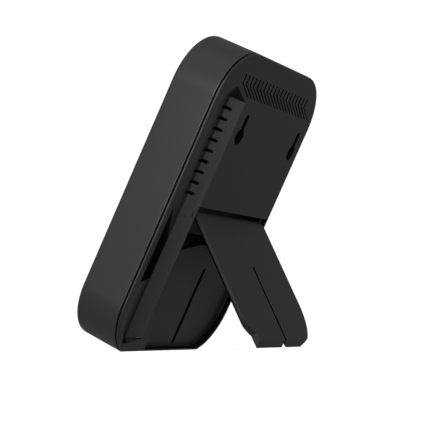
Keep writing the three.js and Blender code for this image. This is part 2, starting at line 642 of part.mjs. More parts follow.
function rearCover() {
  const tools = [
    heelCut(), trough(0), portRamp(0), pocket(), bay(0),
    keyhole(FLAP_MID - KEY_SPACING / 2), keyhole(FLAP_MID + KEY_SPACING / 2),
    slit(POCKET_FLOOR - TUB_WALL - 1, BACK + 1, SLIT_LOW, SLIT_W),
    rod('x', FLAP_LEFT + FLAP_BEVEL - FIT - PIN_SEAT, FLAP_RIGHT + FIT + PIN_SEAT, PIN + FIT,
      HINGE_Y, HINGE_Z, 16),
    block(USB_X - USB_W / 2 + 0.3, USB_X + USB_W / 2 - 0.3, USB_Y + 0.3, USB_Y + USB_T - 0.3,
      PORT_LOW - 3, PORT_LOW + 1),
    block(JACK_X - JACK_BORE, JACK_X + JACK_BORE, SOCKET_Y + JACK_T / 2 - JACK_BORE,
      SOCKET_Y + JACK_T / 2 + JACK_BORE, PORT_LOW - 3, PORT_LOW + 1),
  ];
  for (let i = 0; i < TOP_VENTS; i += 1) tools.push(topVent(i));
  for (let i = 0; i < SIDE_VENTS; i += 1) tools.push(sideVent(i));
  return cut(coverBlank(), ...tools);
}

// ---- the stand flap and its pin ---------------------------------------------------------
// Drawn shut, flush with the back; its group turns it open about the hinge.
function standFlap() {
  const top = HINGE_Z;
  const plate = slab(flapOutline(0, top), BACK - FLAP_T, BACK)
    .intersect(bevelLimit(0))
    .intersect(outlineSlab(POCKET_RIM + FIT, 0, BACK + 2));
  const barrel = rod('x', BARREL_LEFT, BARREL_RIGHT, BARREL, HINGE_Y, HINGE_Z, 32);
  const bore = rod('x', FLAP_LEFT - 1, FLAP_RIGHT + 1, PIN + FIT, HINGE_Y, HINGE_Z, 16);
  const footBevel = bar(polygon([
    [BACK + 1, FLAP_FOOT + FOOT_BEVEL * (1 + 1 / FLAP_T)], [BACK + 1, FLAP_FOOT - 1],
    [BACK - FLAP_T - 1, FLAP_FOOT - 1], [BACK - FLAP_T, FLAP_FOOT],
  ]), FLAP_LEFT - 1, FLAP_RIGHT + 1);
  const notch = slab(polygon([
    [FLAP_MID - SLIT_NOTCH / 2, FLAP_FOOT - 1], [FLAP_MID + SLIT_NOTCH / 2, FLAP_FOOT - 1],
    [FLAP_MID + SLIT_W / 2 - 0.4, FLAP_FOOT + 2.4], [FLAP_MID - SLIT_W / 2 + 0.4, FLAP_FOOT + 2.4],
  ]), 0, DEPTH + 1);
  const ends = [[FLAP_LEFT, 1], [FLAP_RIGHT, -1]].map(([x, side]) => slab(polygon([
    [x - side, HINGE_Z - FLAP_TOP_CUT - 1], [x + side * (FLAP_TOP_CUT + 1), HINGE_Z + 1],
    [x - side, HINGE_Z + 1],
  ]), 0, DEPTH + 1));
  return cut(join(plate, barrel), bore, footBevel, notch,
    slit(0, DEPTH + 1, FLAP_FOOT - 2, SLIT_W - 0.8), ...ends);
}

const hingePin = () => rod('x', FLAP_LEFT + FLAP_BEVEL - PIN_SEAT, FLAP_RIGHT + PIN_SEAT,
  PIN, HINGE_Y, HINGE_Z, 20);

// ---- assembly -----------------------------------------------------------------------
const body = new THREE.Group();
const stand = new THREE.Group();

function add(group, name, shape, material) {
  const mesh = new THREE.Mesh(surface(shape), material);
  mesh.name = name;
  group.add(mesh);
  return mesh;
}

add(body, 'front_shell', frontShell(), SHELL_PLASTIC);
add(body, 'front_glass', frontGlass(), GLOSS_GLASS);
add(body, 'foam_gasket', gasket(), FOAM);
add(body, 'lcd_panel', lcdPanel(), SCREEN);
add(body, 'light_guide', lightGuide(), WHITE_SHEET);
add(body, 'display_tray', displayTray(), STEEL);
add(body, 'chassis_plate', chassisPlate(), BLACK_RESIN);
postPlaces.forEach(([x, z], i) => add(
  body, `chassis_screw_${i + 1}`, screw(x, PLATE_Y + PLATE_T, z, 4.4), STEEL));
add(body, 'main_board', mainBoard(), BOARD_GREEN);
boardCorners.forEach(([x, z], i) => add(
  body, `board_screw_${i + 1}`, screw(x, BOARD_Y + BOARD_T, z, 3.6), STEEL));
add(body, 'processor_shield', onBoard(-14, 2, 18, 18, 2.0), STEEL);
add(body, 'memory_chip', onBoard(6, 4, 11, 9, 1.0), CHIP);
add(body, 'wireless_module', onBoard(19, -7, 13, 16, 1.8), STEEL);
add(body, 'ribbon_connector', ribbonConnector(), WHITE_SHEET);
add(body, 'display_ribbon', displayRibbon(), RIBBON);
add(body, 'port_board', portBoard(), BOARD_GREEN);
add(body, 'usb_socket', usbSocket(), STEEL);
add(body, 'power_socket', powerSocket(), CHIP);
add(body, 'speaker', speaker(), CHIP);
add(body, 'power_button', powerButton(), COVER_PLASTIC);
add(body, 'button_switch', buttonSwitch(), CHIP);
add(body, 'button_board', buttonBoard(), BOARD_GREEN);
add(body, 'card_socket', cardSocket(), STEEL);
add(body, 'rear_cover', rearCover(), COVER_PLASTIC);
add(body, 'hinge_pin', hingePin(), BLACK_STEEL);

// the stand turns about the hinge pin
stand.position.set(0, HINGE_Y, HINGE_Z);
stand.rotation.x = OPEN;
const flap = add(stand, 'stand_flap', standFlap(), FLAP_PLASTIC);
flap.position.set(0, -HINGE_Y, -HINGE_Z);
body.add(stand);

// lean the body back and stand it on its lower edge and the flap's foot
body.rotation.x = -LEAN;
const frame = new THREE.Group();
frame.add(body);
frame.updateMatrixWorld(true);
const box = new THREE.Box3().setFromObject(frame, true);
body.position.set(-(box.min.x + box.max.x) / 2, -(box.min.y + box.max.y) / 2, -box.min.z);
frame.updateMatrixWorld(true);

export default frame;
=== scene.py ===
"""Looks of the digital photo frame: moulded black case, vented back, folding stand."""

import json
import math

import bmesh
import bpy
from bpy.props import FloatProperty, FloatVectorProperty, IntProperty, PointerProperty
from mathutils import Matrix, Vector


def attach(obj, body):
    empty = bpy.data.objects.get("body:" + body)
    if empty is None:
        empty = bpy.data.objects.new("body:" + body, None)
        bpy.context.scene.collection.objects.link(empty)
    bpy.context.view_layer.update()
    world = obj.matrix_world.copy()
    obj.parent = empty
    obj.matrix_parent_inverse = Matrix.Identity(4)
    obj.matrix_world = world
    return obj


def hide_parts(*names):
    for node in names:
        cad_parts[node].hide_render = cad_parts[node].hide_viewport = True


bl_info = {
    "name": "Digital photo frame",
    "version": (1, 0, 0),
    "blender": (4, 5, 0),
    "location": "3D View > Sidebar > Photo frame",
    "description": "Builds the finished pieces of a digital photo frame with a folding stand",
    "category": "Object",
}

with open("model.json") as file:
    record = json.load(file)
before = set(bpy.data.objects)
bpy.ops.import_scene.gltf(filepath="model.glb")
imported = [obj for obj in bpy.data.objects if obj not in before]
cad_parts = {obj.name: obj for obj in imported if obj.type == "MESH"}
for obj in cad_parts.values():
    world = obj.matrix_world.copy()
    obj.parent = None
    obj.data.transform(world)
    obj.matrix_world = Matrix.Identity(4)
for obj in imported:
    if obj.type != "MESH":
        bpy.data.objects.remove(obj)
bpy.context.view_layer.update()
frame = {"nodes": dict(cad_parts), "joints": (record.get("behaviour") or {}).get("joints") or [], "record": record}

MM = 0.001

# ---- the body's own upright frame ----------------------------------------------------
# Millimetres: x across, y depth from the front face, z height above the lower edge.
BACK_MOUNT = next(m for m in frame["record"]["mounts"] if m["name"] == "back_panel")
BACK_MOUNT_AT = Vector((-13.35, 22.7, 88.0))
LEAN = math.atan2(-BACK_MOUNT["axis"][2], BACK_MOUNT["axis"][1])
HINGE_JOINT = next(j for j in frame["joints"] if j["name"] == "stand_hinge")
HINGE = Vector(HINGE_JOINT["pos_m"])
OPEN_ANGLE = -math.radians(HINGE_JOINT["range_deg"][0])
UPRIGHT_TO_ROW = (
    Matrix.Translation(Vector(BACK_MOUNT["pos_m"]))
    @ Matrix.Rotation(-LEAN, 4, "X")
    @ Matrix.Translation(-BACK_MOUNT_AT * MM)
    @ Matrix.Scale(MM, 4)
)

# the shut stand's frame, carried round the hinge with it
SHUT_TO_ROW = (
    Matrix.Translation(HINGE)
    @ Matrix.Rotation(OPEN_ANGLE, 4, "X")
    @ Matrix.Translation(-HINGE)
    @ UPRIGHT_TO_ROW
)

# sizes in the upright frame, in millimetres
BACK_FACE = BACK_MOUNT_AT.y
BODY_HEIGHT = 140.0
SCREEN_SIZE = (83.0, 111.0)
PRINT_OVER_SCREEN = 1.0             # the printed border covers the screen's edge by this
PRINT_BLUR = 0.05
WALLS_HALF_WIDTH = 51.2             # the region of the back that holds openings
WALLS_LOW = 1.3
WALLS_HIGH = BODY_HEIGHT - 2.0
RAMP_LEFT, RAMP_RIGHT = 29.0, 49.6  # the recess for the leads
RAMP_LOW, RAMP_HIGH = 33.5, 67.0
RAMP_FLOOR = BACK_FACE - 13.0
SLIT_HALF_WIDTH = 1.3               # the stand's slit
SLIT_LOW, SLIT_HIGH = 5.0, 43.0
BUTTON_EDGE = 0.25 * MM


# ---- settings --------------------------------------------------------------------------
class FrameSizes(bpy.types.PropertyGroup):
    """Sizes of the finishing that a maker would change."""

    case_edge: FloatProperty(
        name="Case edge", description="Rounding of the case's sharp edges",
        default=0.12 * MM, min=0.0, unit="LENGTH", precision=5)
    back_edge: FloatProperty(
        name="Back edge", description="Rounding of the edges of the back's slots and recesses",
        default=0.08 * MM, min=0.0, unit="LENGTH", precision=5)
    stand_edge: FloatProperty(
        name="Stand edge", description="Rounding of the stand's sharp edges",
        default=0.1 * MM, min=0.0, unit="LENGTH", precision=5)
    glass_edge: FloatProperty(
        name="Glass edge", description="Polished edge of the front glass",
        default=0.3 * MM, min=0.0, unit="LENGTH", precision=5)
    edge_steps: IntProperty(
        name="Edge steps", description="Facets in each rounded edge",
        default=3, min=1, max=6)


class FrameFinish(bpy.types.PropertyGroup):
    """Colours of the finishes that a maker would change."""

    case_colour: FloatVectorProperty(
        name="Case", description="Colour of the case's plastic",
        subtype="COLOR", size=3, min=0.0, max=1.0, default=(0.024, 0.0225, 0.023))
    back_colour: FloatVectorProperty(
        name="Back", description="Colour of the back's plastic",
        subtype="COLOR", size=3, min=0.0, max=1.0, default=(0.019, 0.0178, 0.0183))
    stand_colour: FloatVectorProperty(
        name="Stand", description="Colour of the stand's plastic",
        subtype="COLOR", size=3, min=0.0, max=1.0, default=(0.016, 0.015, 0.0155))
    grain: FloatProperty(
        name="Grain", description="Size of the grain moulded into the plastic",
        default=0.28 * MM, min=0.05 * MM, unit="LENGTH", precision=5)


class StageSettings(bpy.types.PropertyGroup):
    """Light and floor of the stage."""

    side_light: FloatProperty(
        name="Side light", description="Power of the soft light on the side with the recess",
        default=22.0, min=0.0, unit="POWER")
    top_light: FloatProperty(
        name="Top light", description="Power of the soft light overhead",
        default=1.5, min=0.0, unit="POWER")
    back_light: FloatProperty(
        name="Back light", description="Power of the soft light behind the stand",
        default=0.3, min=0.0, unit="POWER")
    surround: FloatProperty(
        name="Surround", description="Brightness of the room round the object",
        default=0.25, min=0.0)


def sizes():
    return bpy.context.scene.photo_frame_sizes


def finish_of():
    return bpy.context.scene.photo_frame_finish


def stage_settings():
    return bpy.context.scene.photo_frame_stage


# ---- node helpers ----------------------------------------------------------------------
class Recipe:
    """A material's node tree with a Principled surface, and short ways to add to it."""

    def __init__(self, name):
        self.material = bpy.data.materials.new(name)
        self.material.use_nodes = True
        self.tree = self.material.node_tree
        self.surface = next(n for n in self.tree.nodes if n.type == "BSDF_PRINCIPLED")
        self.coords = self.add("ShaderNodeTexCoord").outputs["Object"]

    def add(self, kind, **values):
        node = self.tree.nodes.new(kind)
        for key, value in values.items():
            setattr(node, key, value)
        return node

    def link(self, source, target):
        self.tree.links.new(source, target)

    def set(self, name, value):
        socket = self.surface.inputs[name]
        if isinstance(value, bpy.types.NodeSocket):
            self.link(value, socket)
        else:
            socket.default_value = value

    def stretched(self, scale, turn=(0.0, 0.0, 0.0), location=(0.0, 0.0, 0.0)):
        node = self.add("ShaderNodeMapping")
        self.link(self.coords, node.inputs["Vector"])
        node.inputs["Location"].default_value = location
        node.inputs["Rotation"].default_value = turn
        node.inputs["Scale"].default_value = scale
        return node.outputs["Vector"]

    def noise(self, scale, detail=3.0, roughness=0.55, vector=None):
        node = self.add("ShaderNodeTexNoise")
        self.link(vector or self.coords, node.inputs["Vector"])
        node.inputs["Scale"].default_value = scale
        node.inputs["Detail"].default_value = detail
        node.inputs["Roughness"].default_value = roughness
        return node.outputs["Fac"]

    def cells(self, scale):
        node = self.add("ShaderNodeTexVoronoi", feature="F1")
        self.link(self.coords, node.inputs["Vector"])
        node.inputs["Scale"].default_value = scale
        return node.outputs["Distance"]

    def waves(self, scale, direction="X", distortion=0.0):
        node = self.add("ShaderNodeTexWave", wave_type="BANDS", bands_direction=direction)
        self.link(self.coords, node.inputs["Vector"])
        node.inputs["Scale"].default_value = scale
        node.inputs["Distortion"].default_value = distortion
        return node.outputs["Fac"]

    def spread(self, value, low, high, out_low=0.0, out_high=1.0):
        node = self.add("ShaderNodeMapRange")
        self.link(value, node.inputs["Value"])
        for name, number in (("From Min", low), ("From Max", high),
                             ("To Min", out_low), ("To Max", out_high)):
            node.inputs[name].default_value = number
        return node.outputs["Result"]

    def sum(self, kind, a, b):
        node = self.add("ShaderNodeMath", operation=kind)
        for socket, value in zip(node.inputs, (a, b)):
            if isinstance(value, bpy.types.NodeSocket):
                self.link(value, socket)
            else:
                socket.default_value = value
        return node.outputs["Value"]

    def blend(self, factor, first, second):
        node = self.add("ShaderNodeMix", data_type="RGBA")
        self.link(factor, node.inputs["Factor"])
        for name, value in (("A", first), ("B", second)):
            socket = next(s for s in node.inputs if s.name == name and s.type == "RGBA")
            if isinstance(value, bpy.types.NodeSocket):
                self.link(value, socket)
            else:
                socket.default_value = (*value[:3], 1.0)
        return next(s for s in node.outputs if s.type == "RGBA")

    def bump(self, height, strength, distance):
        node = self.add("ShaderNodeBump")
        self.link(height, node.inputs["Height"])
        node.inputs["Strength"].default_value = strength
        node.inputs["Distance"].default_value = distance
        self.link(node.outputs["Normal"], self.surface.inputs["Normal"])

    def attribute(self, name):
        return self.add("ShaderNodeAttribute", attribute_name=name).outputs["Fac"]


def scaled(colour, factor):
    return tuple(min(1.0, c * factor) for c in colour[:3])


# ---- finishes --------------------------------------------------------------------------
def moulded_plastic(name, colour, roughness, grain_depth, specular):
    """Spark-grained black plastic, a little polished and paler along its handled edges."""
    r = Recipe(name)
    grain = finish_of().grain
    fine = r.noise(1.0 / grain, detail=2.0, roughness=0.6)
    pits = r.cells(0.6 / grain)
    cloud = r.noise(38.0, detail=4.0)
    smear = r.noise(11.0, detail=5.0, vector=r.stretched((1.0, 1.0, 0.35)))
    tone = r.blend(r.spread(cloud, 0.3, 0.7), scaled(colour, 0.98), scaled(colour, 1.02))
    speck = r.spread(fine, 0.66, 0.78)
    tone = r.blend(r.sum("MULTIPLY", speck, 0.15), tone, scaled(colour, 1.9))
    edge = r.attribute("wear")
    patchy = r.spread(r.noise(260.0, detail=3.0), 0.38, 0.62, 0.25, 1.0)
    rubbed = r.sum("MULTIPLY", edge, patchy)
    r.set("Base Color", r.blend(rubbed, tone, scaled(colour, 2.1)))
    dull = r.spread(smear, 0.3, 0.7, roughness - 0.006, roughness + 0.008)
    r.set("Roughness", r.sum("SUBTRACT", dull, r.sum("MULTIPLY", rubbed, 0.1)))
    r.set("Specular IOR Level", specular)
    height = r.sum("ADD", fine, r.sum("MULTIPLY", pits, 0.6))
    r.bump(height, 0.05, grain_depth)
    return r.material


def painted_shade_black():
    """Painted shade: near-black matt surface put deep in slots and recesses and on the stand's slanted undersides,
    where shade falls.
    """
    r = Recipe("slot plastic")
    fine = r.noise(3200.0, detail=2.0)
    r.set("Base Color", r.blend(
        r.spread(fine, 0.35, 0.65), (0.0016, 0.0015, 0.0016), (0.0026, 0.0025, 0.0026)))
    r.set("Roughness", r.spread(r.noise(260.0), 0.3, 0.7, 0.84, 0.92))
    r.set("Specular IOR Level", 0.06)
    r.bump(fine, 0.3, 0.03 * MM)
    return r.material


def front_glass():
    """Polished glass over a switched-off display, with a printed black border."""
    r = Recipe("front glass")
    upright = UPRIGHT_TO_ROW.inverted()
    turn = upright.to_euler()
    view = r.stretched(
        (1 / MM, 1 / MM, 1 / MM), turn=tuple(turn), location=tuple(upright.translation))
    split = r.add("ShaderNodeSeparateXYZ")
    r.link(view, split.inputs["Vector"])
    across = r.sum("ABSOLUTE", split.outputs["X"], 0.0)
    up = r.sum("ABSOLUTE", r.sum("SUBTRACT", split.outputs["Z"], BODY_HEIGHT / 2), 0.0)
    half_w, half_h = (size / 2 - PRINT_OVER_SCREEN for size in SCREEN_SIZE)
    in_x = r.spread(across, half_w - PRINT_BLUR, half_w + PRINT_BLUR, 1.0, 0.0)
    in_z = r.spread(up, half_h - PRINT_BLUR, half_h + PRINT_BLUR, 1.0, 0.0)
    window = r.sum("MULTIPLY", in_x, in_z)
    cells = r.waves(900.0, direction="X")
    panel = r.blend(cells, (0.010, 0.011, 0.013), (0.013, 0.014, 0.017))
    r.set("Base Color", r.blend(window, (0.0035, 0.0035, 0.004), panel))
    smudge = r.noise(16.0, detail=6.0, roughness=0.62)
    r.set("Roughness", r.spread(smudge, 0.42, 0.72, 0.045, 0.16))
    r.set("Specular IOR Level", 0.5)
    r.set("Coat Weight", 0.35)
    r.set("Coat Roughness", 0.04)
    r.bump(r.noise(60.0, detail=1.0), 0.02, 0.05 * MM)
    return r.material


def display_panel():
    """Dark polariser film with a fine cell grid."""
    r = Recipe("display panel")
    grid = r.sum("MULTIPLY", r.waves(1400.0, direction="X"), r.waves(1400.0, direction="Z"))
    tone = r.blend(grid, (0.006, 0.007, 0.009), (0.012, 0.014, 0.018))
    r.set("Base Color", r.blend(r.spread(r.noise(20.0), 0.35, 0.65), tone, (0.009, 0.010, 0.014)))
    r.set("Roughness", r.spread(r.noise(900.0), 0.3, 0.7, 0.22, 0.34))
    return r.material


def milky_sheet():
    """Light guide and connector plastic: milky, with a moulded dot pattern."""
    r = Recipe("milky plastic")
    dots = r.spread(r.cells(900.0), 0.2, 0.32, 1.0, 0.0)
    tone = r.blend(
        r.spread(r.noise(45.0, detail=4.0), 0.35, 0.65), (0.78, 0.78, 0.74), (0.86, 0.86, 0.83))
    r.set("Base Color", r.blend(dots, tone, (0.9, 0.9, 0.88)))
    r.set("Roughness", r.spread(r.noise(300.0), 0.3, 0.7, 0.38, 0.5))
    r.set("Subsurface Weight", 0.1)
    r.bump(dots, 0.25, 0.05 * MM)
    return r.material


def open_foam():
    """Black gasket foam with open cells."""
    r = Recipe("gasket foam")
    cells = r.cells(2600.0)
    r.set("Base Color", r.blend(
        r.spread(cells, 0.1, 0.6), (0.008, 0.008, 0.008), (0.035, 0.035, 0.036)))
    r.set("Roughness", r.spread(r.noise(400.0), 0.3, 0.7, 0.88, 0.97))
    r.bump(cells, 0.7, 0.12 * MM)
    return r.material


def plated_sheet():
    """Zinc-plated pressed steel with a drawn direction and dull patches."""
    r = Recipe("plated steel")
    lines = r.noise(90.0, detail=4.0, vector=r.stretched((60.0, 60.0, 1.5)))
    dull = r.noise(70.0, detail=5.0)
    tone = r.blend(lines, (0.50, 0.51, 0.53), (0.66, 0.67, 0.69))
    r.set("Base Color", r.blend(r.spread(dull, 0.45, 0.75), tone, (0.42, 0.43, 0.44)))
    r.set("Metallic", 1.0)
    r.set("Roughness", r.spread(r.sum("ADD", lines, dull), 0.6, 1.4, 0.27, 0.46))
    r.bump(lines, 0.15, 0.03 * MM)
    return r.material


def glass_filled_resin():
    """Dark grey glass-filled resin of the chassis, with flow lines."""
    r = Recipe("chassis resin")
    flow = r.noise(120.0, detail=5.0, vector=r.stretched((1.0, 1.0, 4.0)))
    fibre = r.noise(2600.0, detail=1.0, vector=r.stretched((1.0, 6.0, 1.0)))
    tone = r.blend(flow, (0.028, 0.029, 0.032), (0.046, 0.047, 0.051))
    r.set("Base Color", r.blend(r.spread(fibre, 0.62, 0.8, 0.0, 0.5), tone, (0.11, 0.11, 0.115)))
    r.set("Roughness", r.spread(flow, 0.3, 0.7, 0.6, 0.76))
    r.bump(fibre, 0.25, 0.05 * MM)
    return r.material


def circuit_board():
    """Green solder lacquer over copper tracks."""
    r = Recipe("circuit board")
    tracks = r.spread(r.waves(420.0, direction="X", distortion=9.0), 0.42, 0.5)
    pads = r.spread(r.cells(520.0), 0.1, 0.16, 1.0, 0.0)
    tone = r.blend(tracks, (0.006, 0.052, 0.024), (0.012, 0.095, 0.045))
    r.set("Base Color", r.blend(pads, tone, (0.46, 0.42, 0.27)))
    r.set("Roughness", r.spread(r.noise(200.0), 0.3, 0.7, 0.3, 0.45))
    r.set("Coat Weight", 0.3)
    r.bump(tracks, 0.35, 0.04 * MM)
    return r.material


def chip_epoxy():
    """Black moulding compound of chips, sockets and the speaker."""
    r = Recipe("moulding compound")
    fine = r.noise(3800.0, detail=2.0)
    tone = r.blend(r.spread(r.noise(140.0), 0.35, 0.65), (0.010, 0.010, 0.011), (0.018, 0.018, 0.020))
    r.set("Base Color", r.blend(r.spread(fine, 0.64, 0.76, 0.0, 0.6), tone, (0.06, 0.06, 0.062)))
    r.set("Roughness", r.spread(fine, 0.3, 0.7, 0.5, 0.66))
    r.bump(fine, 0.3, 0.04 * MM)
    return r.material


def ribbon_film():
    """Amber film with copper conductors running along it."""
    r = Recipe("ribbon film")
    strands = r.spread(r.waves(320.0, direction="X"), 0.35, 0.55)
    r.set("Base Color", r.blend(strands, (0.34, 0.15, 0.035), (0.58, 0.30, 0.10)))
    r.set("Roughness", r.spread(r.noise(260.0), 0.3, 0.7, 0.28, 0.42))
    r.set("Coat Weight", 0.4)
    r.bump(strands, 0.4, 0.05 * MM)
    return r.material


def black_oxide():
    """Hinge pin of drawn steel blackened in a bath, with fine lines along it."""
    r = Recipe("black oxide")
    lines = r.noise(700.0, detail=3.0, vector=r.stretched((0.03, 1.0, 1.0)))
    r.set("Base Color", r.blend(lines, (0.012, 0.012, 0.013), (0.03, 0.03, 0.032)))
    r.set("Metallic", 0.6)
    r.set("Roughness", r.spread(lines, 0.3, 0.7, 0.36, 0.5))
    r.bump(lines, 0.2, 0.02 * MM)
    return r.material


# ---- making pieces ---------------------------------------------------------------------
SAME_PLACE = 0.002 * MM
SHORTEST_EDGE = 0.1 * MM            # edges shorter than this stay sharp
FLAT_TURN = math.radians(0.02)      # faces that turn less than this are one flat
SMOOTH_TURN = math.radians(22.0)    # facets of a curve turn less than this
SHARP_TURN = math.radians(28.0)     # edges that turn more than this are rounded
ROUNDED_ALIKE = 0.7                 # cosine up to which a rounded edge follows its neighbour


def paint(node, material):
    """Gives a shown CAD node its finish."""
    for entry in frame["nodes"][node].material_slots:
        entry.material = material


def edge_turn(edge):
    return edge.calc_face_angle(0.0) if len(edge.link_faces) == 2 else 0.0


def round_edges(bm, width, steps):
    """Rounds the sharp edges. Rounded faces are marked as worn."""
    rounded = bm.faces.layers.float.new("wear")
    sharp = [
        e for e in bm.edges
        if edge_turn(e) > SHARP_TURN and e.calc_length() > SHORTEST_EDGE
    ]
    made = bmesh.ops.bevel(
        bm, geom=sharp, offset=width, offset_type="OFFSET", segments=steps, profile=0.5,
        affect="EDGES", clamp_overlap=False, material=-1)
    for face in made["faces"]:
        face[rounded] = 1.0


def even_normals(bm):
    """One normal for each corner: flats stay flat, curves and rounded edges run smoothly."""
    rounded = bm.faces.layers.float["wear"]
    limit = math.cos(SMOOTH_TURN)
    normals = []
    for face in bm.faces:
        for loop in face.loops:
            around = loop.vert.link_faces
            plain = [f for f in around if not f[rounded] and f.normal.dot(face.normal) > limit]
            if face[rounded]:
                alike = [f for f in around if f.normal.dot(face.normal) > ROUNDED_ALIKE]
                plain = [f for f in alike if not f[rounded]] or alike
            total = sum((f.normal * f.calc_area() for f in plain), Vector())
            normals.append(total.normalized() if total.length > 0.0 else face.normal.copy())
    return normals


def finished_copy(node, name, width, steps, painted_shade_faces=None):
    """A merged copy of a CAD node with its flats cleaned and its sharp edges rounded.

    Faces that the last argument picks take the second material, a near-black painted shade."""
    bm = bmesh.new()
    bm.from_mesh(frame["nodes"][node].data)
    bmesh.ops.remove_doubles(bm, verts=bm.verts, dist=SAME_PLACE)
    bmesh.ops.dissolve_limit(
        bm, angle_limit=FLAT_TURN, verts=bm.verts, edges=bm.edges, delimit=set())
    round_edges(bm, width, steps)
    bmesh.ops.triangulate(bm, faces=[f for f in bm.faces if len(f.verts) > 4])
    bm.normal_update()
    for face in bm.faces:
        face.smooth = True
        # picked faces get the near-black painted shade as their material
        face.material_index = int(bool(painted_shade_faces and painted_shade_faces(face)))
    normals = even_normals(bm)
    mesh = bpy.data.meshes.new(name)
    bm.to_mesh(mesh)
    bm.free()
    mesh.normals_split_custom_set([tuple(n) for n in normals])
    piece = bpy.data.objects.new(name, mesh)
    bpy.context.scene.collection.objects.link(piece)
    return piece


def place_and_normal(face, to_row):
    """A face's middle and normal in the upright or the shut frame, in millimetres."""
    back = to_row.inverted()
    normal = (back.to_3x3() @ face.normal).normalized()
    return back @ face.calc_center_median(), normal


def cover_painted_shade_faces(face):
    """Painted shade: the walls of the vents, slots and pocket, and the whole of the ramp for the leads, which take
    the near-black second material.
    """
    at, normal = place_and_normal(face, UPRIGHT_TO_ROW)
    inside = (
        abs(at.x) < WALLS_HALF_WIDTH and WALLS_LOW < at.z < WALLS_HIGH and at.y < BACK_FACE - 0.2)
    wall = abs(normal.y) < 0.2
    in_ramp = (
        RAMP_LEFT < at.x < RAMP_RIGHT and RAMP_LOW < at.z < RAMP_HIGH
        and RAMP_FLOOR < at.y < BACK_FACE - 0.8)
    ramp = in_ramp and abs(normal.x) < 0.1 and abs(normal.z) > 0.05
    return inside and (wall or ramp)


def stand_painted_shade_faces(face):
    """Painted shade: the walls of the stand's slit and the slanted undersides of its long edges, which take the
    near-black second material.
    """
    at, normal = place_and_normal(face, SHUT_TO_ROW)
    in_slit = abs(at.x - BACK_MOUNT_AT.x) < SLIT_HALF_WIDTH and SLIT_LOW < at.z < SLIT_HIGH
    slit = in_slit and abs(normal.y) < 0.2
    underside = normal.y < -0.3 and abs(normal.x) > 0.3
    return slit or underside


def fit(piece, body, node, slot, *materials):
    """Sets a finished piece in place of its CAD node."""
    for material in materials:
        piece.data.materials.append(material)
    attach(piece, body)
    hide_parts(node)


# ---- operators -------------------------------------------------------------------------
class PHOTOFRAME_OT_case(bpy.types.Operator):
    """Finish the front shell with rounded edges and satin plastic"""

    bl_idname = "photoframe.case"
    bl_label = "Case"

    def execute(self, context):
        plastic = moulded_plastic("case plastic", finish_of().case_colour, 0.42, 0.02 * MM, 0.42)
        piece = finished_copy("front_shell", "case_shell", sizes().case_edge, sizes().edge_steps)
        fit(piece, "frame_body", "front_shell", "shell_plastic", plastic)
        return {"FINISHED"}


class PHOTOFRAME_OT_back(bpy.types.Operator):
    """Finish the vented back cover with its recesses"""

    bl_idname = "photoframe.back"
    bl_label = "Back cover"

    def execute(self, context):
        plastic = moulded_plastic("back plastic", finish_of().back_colour, 0.46, 0.03 * MM, 0.3)
        # the vents, slots, pocket and ramp take the near-black painted shade as the second material
        piece = finished_copy(
            "rear_cover", "back_cover", sizes().back_edge, sizes().edge_steps, cover_painted_shade_faces)
        fit(piece, "frame_body", "rear_cover", "cover_plastic", plastic, painted_shade_black())
        return {"FINISHED"}


class PHOTOFRAME_OT_stand(bpy.types.Operator):
    """Finish the folding stand and its hinge pin"""

    bl_idname = "photoframe.stand"
    bl_label = "Stand"

    def execute(self, context):
        plastic = moulded_plastic("stand plastic", finish_of().stand_colour, 0.48, 0.03 * MM, 0.28)
        # the slit walls and slanted undersides take the near-black painted shade as the second material
        piece = finished_copy(
            "stand_flap", "stand_leg", sizes().stand_edge, sizes().edge_steps, stand_painted_shade_faces)
        fit(piece, "stand", "stand_flap", "flap_plastic", plastic, painted_shade_black())
        paint("hinge_pin", black_oxide())
        return {"FINISHED"}


class PHOTOFRAME_OT_display(bpy.types.Operator):
    """Finish the front glass and the display stack behind it"""

    bl_idname = "photoframe.display"
    bl_label = "Display"

    def execute(self, context):
        glass = finished_copy("front_glass", "cover_glass", sizes().glass_edge, sizes().edge_steps)
        fit(glass, "frame_body", "front_glass", "glass", front_glass())
        paint("foam_gasket", open_foam())
        paint("lcd_panel", display_panel())
        white = milky_sheet()
        paint("light_guide", white)
        paint("ribbon_connector", white)
        paint("display_tray", plated_sheet())
        return {"FINISHED"}


class PHOTOFRAME_OT_works(bpy.types.Operator):
    """Finish the chassis, the boards and what is on them"""

    bl_idname = "photoframe.works"
    bl_label = "Works"

    def execute(self, context):
        paint("chassis_plate", glass_filled_resin())
        steel = plated_sheet()
        metal = ["processor_shield", "wireless_module", "usb_socket", "card_socket"]
        metal += [f"{kind}_screw_{i}" for kind in ("chassis", "board") for i in range(1, 5)]
        for node in metal:
            paint(node, steel)
        green = circuit_board()
        for node in ("main_board", "port_board", "button_board"):
            paint(node, green)
        compound = chip_epoxy()
        for node in ("memory_chip", "power_socket", "speaker", "button_switch"):
            paint(node, compound)
        paint("display_ribbon", ribbon_film())
        return {"FINISHED"}


class PHOTOFRAME_OT_button(bpy.types.Operator):
    """Finish the power button"""

    bl_idname = "photoframe.button"
    bl_label = "Power button"

    def execute(self, context):
        plastic = moulded_plastic("button plastic", finish_of().back_colour, 0.3, 0.01 * MM, 0.5)
        piece = finished_copy("power_button", "button_cap", BUTTON_EDGE, sizes().edge_steps)
        fit(piece, "button", "power_button", "cover_plastic", plastic)
        return {"FINISHED"}


# ---- the stage -------------------------------------------------------------------------
CAMERA_FROM_HINGE = Vector((560.8, 253.6, -56.1)) * MM
CAMERA_AIM_FROM_HINGE = Vector((0.0, -1.08, 2.75)) * MM
CAMERA_ROLL = math.radians(-1.457)
CAMERA_LENS = 117.4

LIGHTS_AIM = (0.0, 0.0, 0.07)
# name, width and height, place
LIGHTS = (
    ("side", (1.3, 0.8), (1.15, 0.38, 0.16)),
    ("top", (1.0, 1.0), (0.45, 0.0, 1.2)),
    ("back", (0.7, 0.7), (-0.35, 1.0, 0.55)),
)
FLOOR_HALF = 6.0


